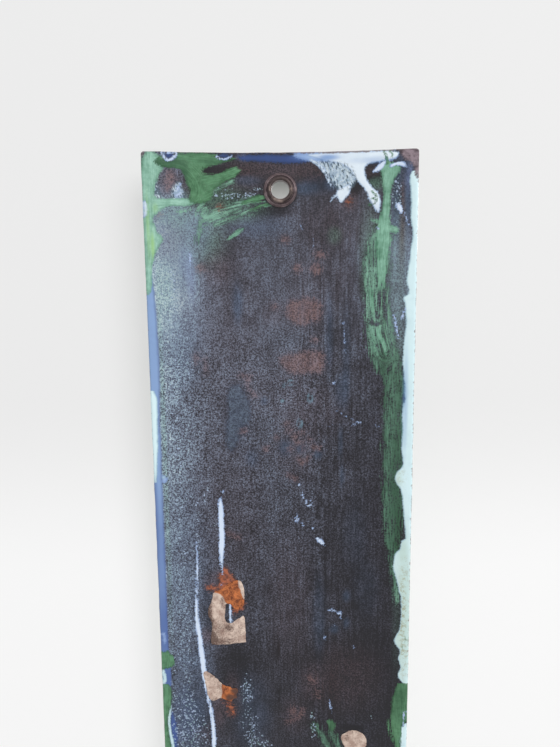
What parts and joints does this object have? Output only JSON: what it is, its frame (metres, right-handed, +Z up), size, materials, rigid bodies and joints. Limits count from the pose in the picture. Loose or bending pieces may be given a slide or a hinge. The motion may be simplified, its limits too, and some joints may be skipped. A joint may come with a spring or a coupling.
{
  "type": "enamel sign",
  "caption": "Narrow upright enamelled steel sign with a bowed face, hung by a metal eyelet at each end; worn dark back with enamel runs and torn label scraps.",
  "frame": {"origin": "centre of the upper eyelet's hole, midway through the sheet's thickness", "axes": "+Z up the sign, +Y out of its hollow back towards the wall, -Y out of its printed front, +X to the viewer's left when seen from behind"},
  "size_m": [0.1, 0.0066, 0.3],
  "materials": {
    "enamelled_steel": "vitreous enamel, dark ground coat behind, white and green in front, chipped and rusted at the edges",
    "eyelet_brass": "dull brown patina",
    "washer_brass": "dull mauve-brown patina",
    "label_paper": "torn matt paper with old brown glue"
  },
  "bodies": {
    "root": {"sign_plate": "enamelled_steel", "upper_eyelet": "eyelet_brass", "upper_washer": "washer_brass", "lower_eyelet": "eyelet_brass", "lower_washer": "washer_brass", "upper_label_scrap": "label_paper", "middle_label_scrap": "label_paper", "lower_label_scrap": "label_paper"}
  },
  "joints": []
}
